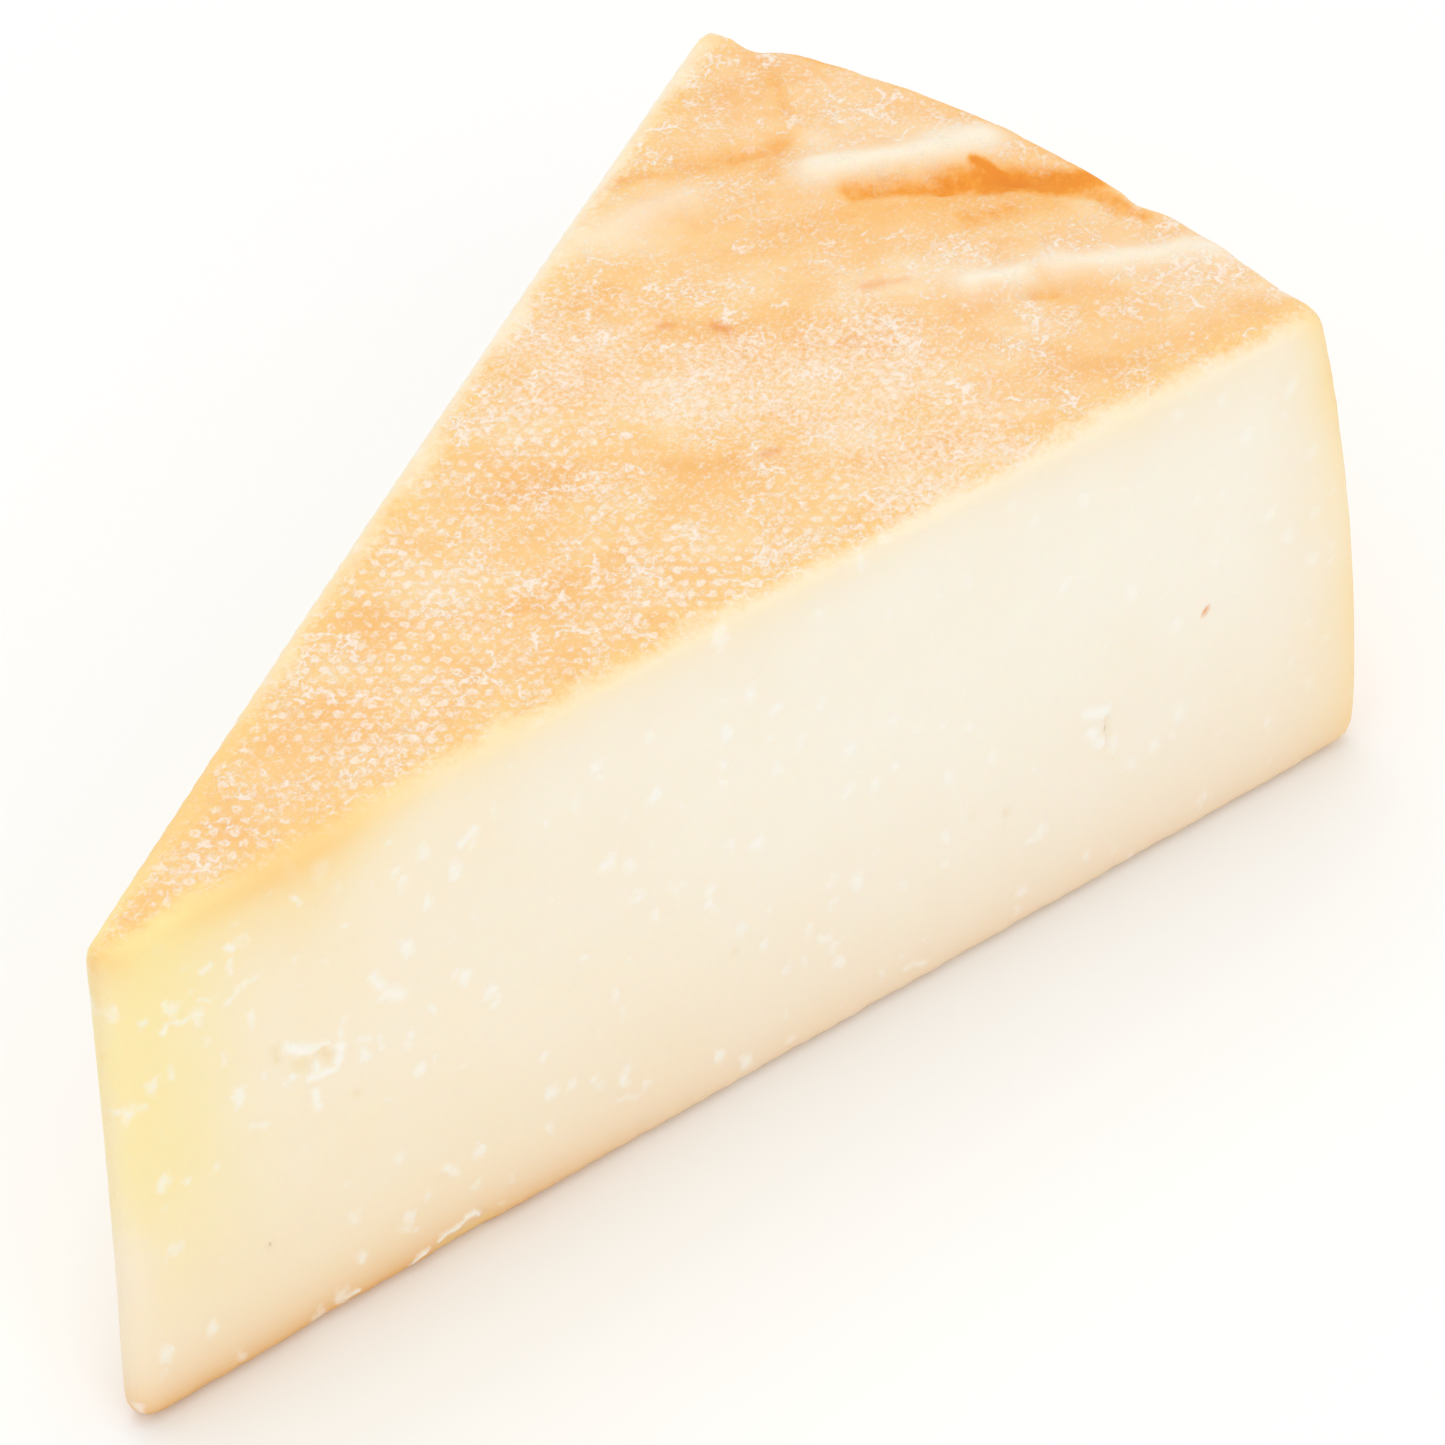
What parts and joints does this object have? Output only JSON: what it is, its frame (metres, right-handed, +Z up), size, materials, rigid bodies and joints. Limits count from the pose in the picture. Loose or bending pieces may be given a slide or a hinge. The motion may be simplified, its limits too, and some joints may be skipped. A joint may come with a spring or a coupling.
{
  "type": "cheese wedge",
  "caption": "Wedge of hard, natural-rind cheese cut from a wheel, with two cut faces that meet at a thin tip and rind on the top, heel and base.",
  "frame": {"origin": "on the surface the wedge stands on, under the centre of its bounding box", "axes": "+Z up, along the wheel's axis; +X along the wedge's middle line, from the thin tip to the rind at the heel; +Y to the left of that line"},
  "size_m": [0.1472, 0.0782, 0.0609],
  "materials": {
    "cheese": "matt, slightly waxy cut paste under a dry, brushed and washed rind"
  },
  "bodies": {
    "root": {"cheese_wedge": "cheese"}
  },
  "joints": []
}
